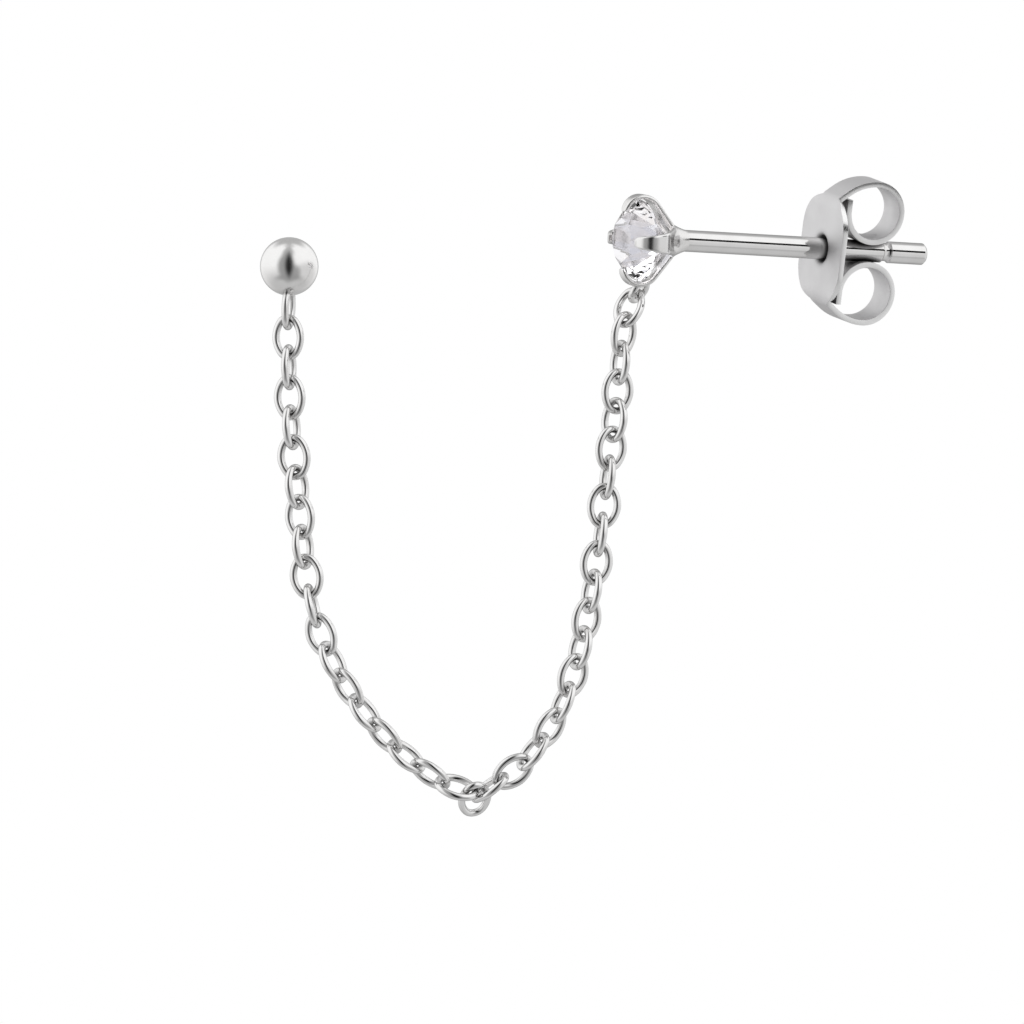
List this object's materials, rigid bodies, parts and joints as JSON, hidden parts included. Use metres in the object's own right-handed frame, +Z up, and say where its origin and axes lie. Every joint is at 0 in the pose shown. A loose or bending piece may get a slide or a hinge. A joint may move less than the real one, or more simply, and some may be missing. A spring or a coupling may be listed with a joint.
{
  "type": "chain earring",
  "caption": "Chain earring for two piercings: a ball stud and a prong-set stone stud joined by a cable chain that hangs in a deep loop, with a butterfly back.",
  "frame": {"origin": "on the axis of the stone stud's post, where the post leaves the back of its setting and enters the ear lobe", "axes": "+Z up, -Y to the front that the picture shows, +X to the right; the stone stud's post runs to +X, turned 26 degrees to the back and 2.7 degrees down; the ball stud's post runs to +Y"},
  "size_m": [0.0245, 0.0118, 0.0235],
  "materials": {
    "polished_silver": "polished",
    "satin_silver": "satin",
    "stone": "polished"
  },
  "bodies": {
    "earring": {"ball_stud": "polished_silver", "stone_stud": "polished_silver", "stone": "stone", "link_01": "polished_silver", "link_02": "polished_silver", "link_03": "polished_silver", "link_04": "polished_silver", "link_05": "polished_silver", "link_06": "polished_silver", "link_07": "polished_silver", "link_08": "polished_silver", "link_09": "polished_silver", "link_10": "polished_silver", "link_11": "polished_silver", "link_12": "polished_silver", "link_13": "polished_silver", "link_14": "polished_silver", "link_15": "polished_silver", "link_16": "polished_silver", "link_17": "polished_silver", "link_18": "polished_silver", "link_19": "polished_silver", "link_20": "polished_silver", "link_21": "polished_silver", "link_22": "polished_silver", "link_23": "polished_silver", "link_24": "polished_silver", "link_25": "polished_silver", "link_26": "polished_silver", "link_27": "polished_silver", "link_28": "polished_silver", "link_29": "polished_silver", "link_30": "polished_silver", "link_31": "polished_silver", "link_32": "polished_silver", "link_33": "polished_silver", "link_34": "polished_silver", "link_35": "polished_silver", "link_36": "polished_silver", "link_37": "polished_silver", "link_38": "polished_silver"},
    "back": {"butterfly_back": "satin_silver"}
  },
  "joints": [
    {"name": "back_slide", "type": "slide", "parent": "earring", "child": "back", "axis": [0.8978, 0.4379, -0.0471], "range_m": [-0.0054, 0.0047]}
  ]
}
